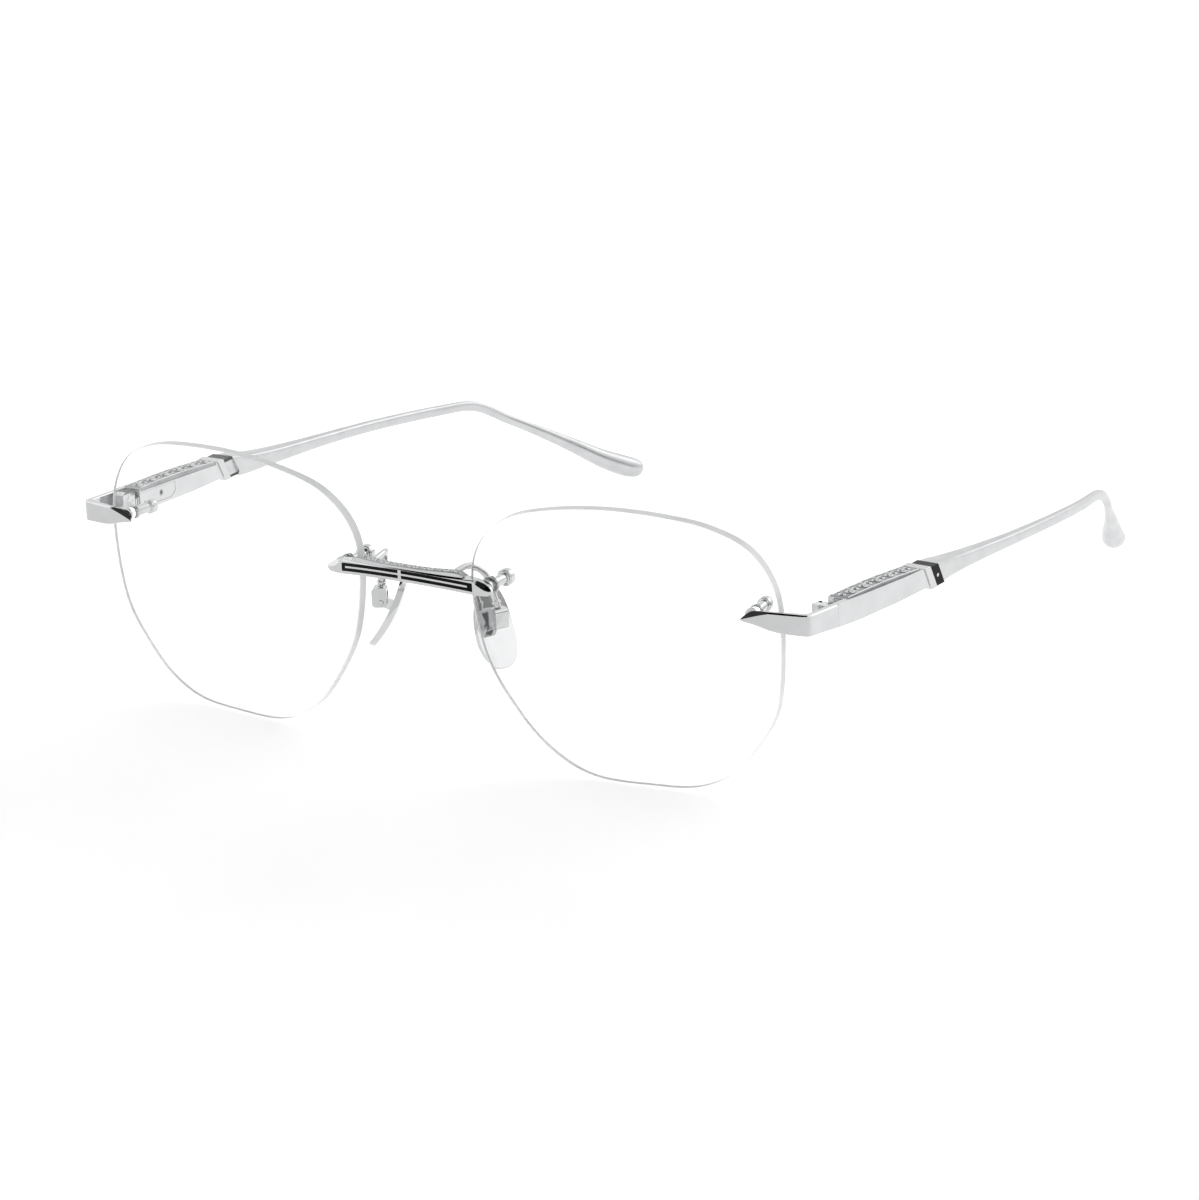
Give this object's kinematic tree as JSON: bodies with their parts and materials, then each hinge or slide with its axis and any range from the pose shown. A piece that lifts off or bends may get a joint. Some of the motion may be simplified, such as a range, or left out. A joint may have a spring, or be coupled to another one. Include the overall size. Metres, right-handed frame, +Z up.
{
  "type": "eyeglasses",
  "caption": "Rimless eyeglasses with clear lenses, a slim metal bridge with enamel inlay, rocking nose pads and folding metal temples.",
  "frame": {"origin": "middle of the bounding box at the table the glasses stand on", "axes": "+X towards the wearer's left, +Y back along the temples, +Z up; the lenses face -Y"},
  "size_m": [0.1414, 0.1475, 0.0456],
  "materials": {
    "polished_metal": "polished palladium plate",
    "engraved_metal": "palladium plate, cast relief",
    "pad_metal": "polished metal",
    "enamel": "gloss black enamel",
    "lens": "clear, polished edge",
    "clear_plastic": "clear moulded"
  },
  "bodies": {
    "front": {"lens_left": "lens", "lens_right": "lens", "bridge_bar": "polished_metal", "bridge_inlay_left": "enamel", "bridge_inlay_right": "enamel", "lens_posts": "polished_metal", "front_collars": "polished_metal", "lens_sleeves": "clear_plastic", "rear_washers": "clear_plastic", "post_nuts": "polished_metal", "pad_arm_left": "polished_metal", "pad_arm_right": "polished_metal", "pad_box_left": "polished_metal", "pad_box_right": "polished_metal", "pad_pin_left": "polished_metal", "pad_pin_right": "polished_metal", "end_piece_left": "polished_metal", "end_piece_right": "polished_metal", "hinge_front_left": "polished_metal", "hinge_front_right": "polished_metal", "hinge_screw_left": "polished_metal", "hinge_screw_right": "polished_metal"},
    "pad_left": {"nose_pad_left": "pad_metal"},
    "pad_right": {"nose_pad_right": "pad_metal"},
    "temple_left": {"hinge_leaf_left": "polished_metal", "leaf_pin_left": "polished_metal", "temple_box_left": "polished_metal", "engraved_strip_left": "engraved_metal", "temple_collar_left": "polished_metal", "enamel_band_left": "enamel", "band_stud_left": "polished_metal", "temple_arm_left": "polished_metal"},
    "temple_right": {"hinge_leaf_right": "polished_metal", "leaf_pin_right": "polished_metal", "temple_box_right": "polished_metal", "engraved_strip_right": "engraved_metal", "temple_collar_right": "polished_metal", "enamel_band_right": "enamel", "band_stud_right": "polished_metal", "temple_arm_right": "polished_metal"}
  },
  "joints": [
    {"name": "fold_left", "type": "hinge", "parent": "front", "child": "temple_left", "pos_m": [0.06705, -0.05512, 0.0296], "axis": [0, 0, 1], "range_deg": [0, 84]},
    {"name": "fold_right", "type": "hinge", "parent": "front", "child": "temple_right", "pos_m": [-0.06705, -0.05512, 0.0296], "axis": [0, 0, -1], "range_deg": [0, 79]},
    {"name": "pad_rock_left", "type": "hinge", "parent": "front", "child": "pad_left", "pos_m": [0.0114, -0.063, 0.0223], "axis": [0.4478, 0.8942, 0], "range_deg": [-8, 8]},
    {"name": "pad_rock_right", "type": "hinge", "parent": "front", "child": "pad_right", "pos_m": [-0.0114, -0.063, 0.0223], "axis": [-0.4478, 0.8942, 0], "range_deg": [-8, 8]}
  ]
}
